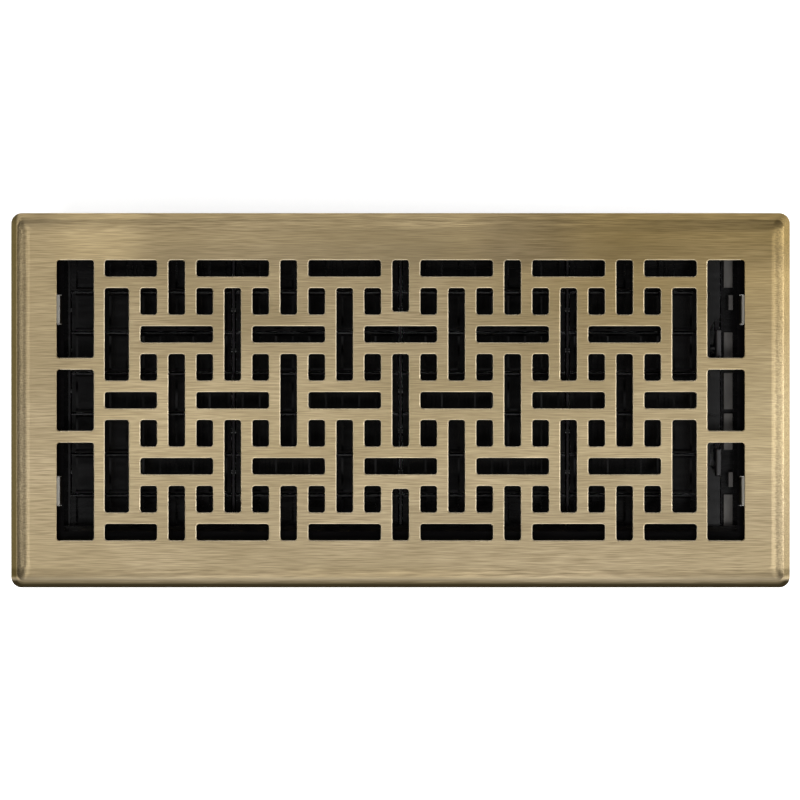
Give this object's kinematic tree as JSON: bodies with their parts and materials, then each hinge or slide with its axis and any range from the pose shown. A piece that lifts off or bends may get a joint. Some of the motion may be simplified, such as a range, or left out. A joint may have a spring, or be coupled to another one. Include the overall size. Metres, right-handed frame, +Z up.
{
  "type": "floor register",
  "caption": "Drop-in floor register: pressed face plate pierced in a basket-weave pattern over a damper box with linked louvres worked by finger posts at one end.",
  "frame": {"origin": "bottom of the damper box, under the middle of the face plate", "axes": "+X along the register towards the finger posts, +Y across it, +Z up out of the floor"},
  "size_m": [0.287, 0.138, 0.038],
  "materials": {
    "brass": "brushed antique brass",
    "box_black": "satin black moulding",
    "rail_black": "satin black moulding",
    "louvre_black": "satin black moulding",
    "link_black": "satin black moulding",
    "post_black": "glossy black moulding"
  },
  "bodies": {
    "root": {"face_plate": "brass", "damper_box": "box_black", "left_rail": "rail_black", "right_rail": "rail_black", "middle_support_1": "rail_black", "middle_support_2": "rail_black", "middle_support_3": "rail_black"},
    "louvre_1": {"louvre_1": "louvre_black", "crank_arm_1": "link_black"},
    "louvre_2": {"louvre_2": "louvre_black", "crank_arm_2": "link_black"},
    "louvre_3": {"louvre_3": "louvre_black", "crank_arm_3": "link_black"},
    "louvre_4": {"louvre_4": "louvre_black", "crank_arm_4": "link_black"},
    "louvre_5": {"louvre_5": "louvre_black", "crank_arm_5": "link_black"},
    "link": {"link_bar": "link_black", "finger_post_1": "post_black", "finger_post_2": "post_black"}
  },
  "joints": [
    {"name": "louvre_1_turn", "type": "hinge", "parent": "root", "child": "louvre_1", "pos_m": [0, 0.0334, 0.027], "axis": [1, 0, 0], "range_deg": [0, 80]},
    {"name": "louvre_2_turn", "type": "hinge", "parent": "root", "child": "louvre_2", "pos_m": [0, 0.0184, 0.027], "axis": [1, 0, 0], "range_deg": [0, 80]},
    {"name": "louvre_3_turn", "type": "hinge", "parent": "root", "child": "louvre_3", "pos_m": [0, 0.0034, 0.027], "axis": [1, 0, 0], "range_deg": [0, 80]},
    {"name": "louvre_4_turn", "type": "hinge", "parent": "root", "child": "louvre_4", "pos_m": [0, -0.0116, 0.027], "axis": [1, 0, 0], "range_deg": [0, 80]},
    {"name": "louvre_5_turn", "type": "hinge", "parent": "root", "child": "louvre_5", "pos_m": [0, -0.0266, 0.027], "axis": [1, 0, 0], "range_deg": [0, 80]},
    {"name": "link_swing", "type": "hinge", "parent": "louvre_1", "child": "link", "pos_m": [0.1172, 0.03147, 0.0247], "axis": [1, 0, 0], "range_deg": [-80, 0]}
  ],
  "couplings": [
    {"joint": "louvre_2_turn", "follows": "louvre_1_turn", "ratio": 1},
    {"joint": "louvre_3_turn", "follows": "louvre_1_turn", "ratio": 1},
    {"joint": "louvre_4_turn", "follows": "louvre_1_turn", "ratio": 1},
    {"joint": "louvre_5_turn", "follows": "louvre_1_turn", "ratio": 1},
    {"joint": "link_swing", "follows": "louvre_1_turn", "ratio": -1}
  ]
}
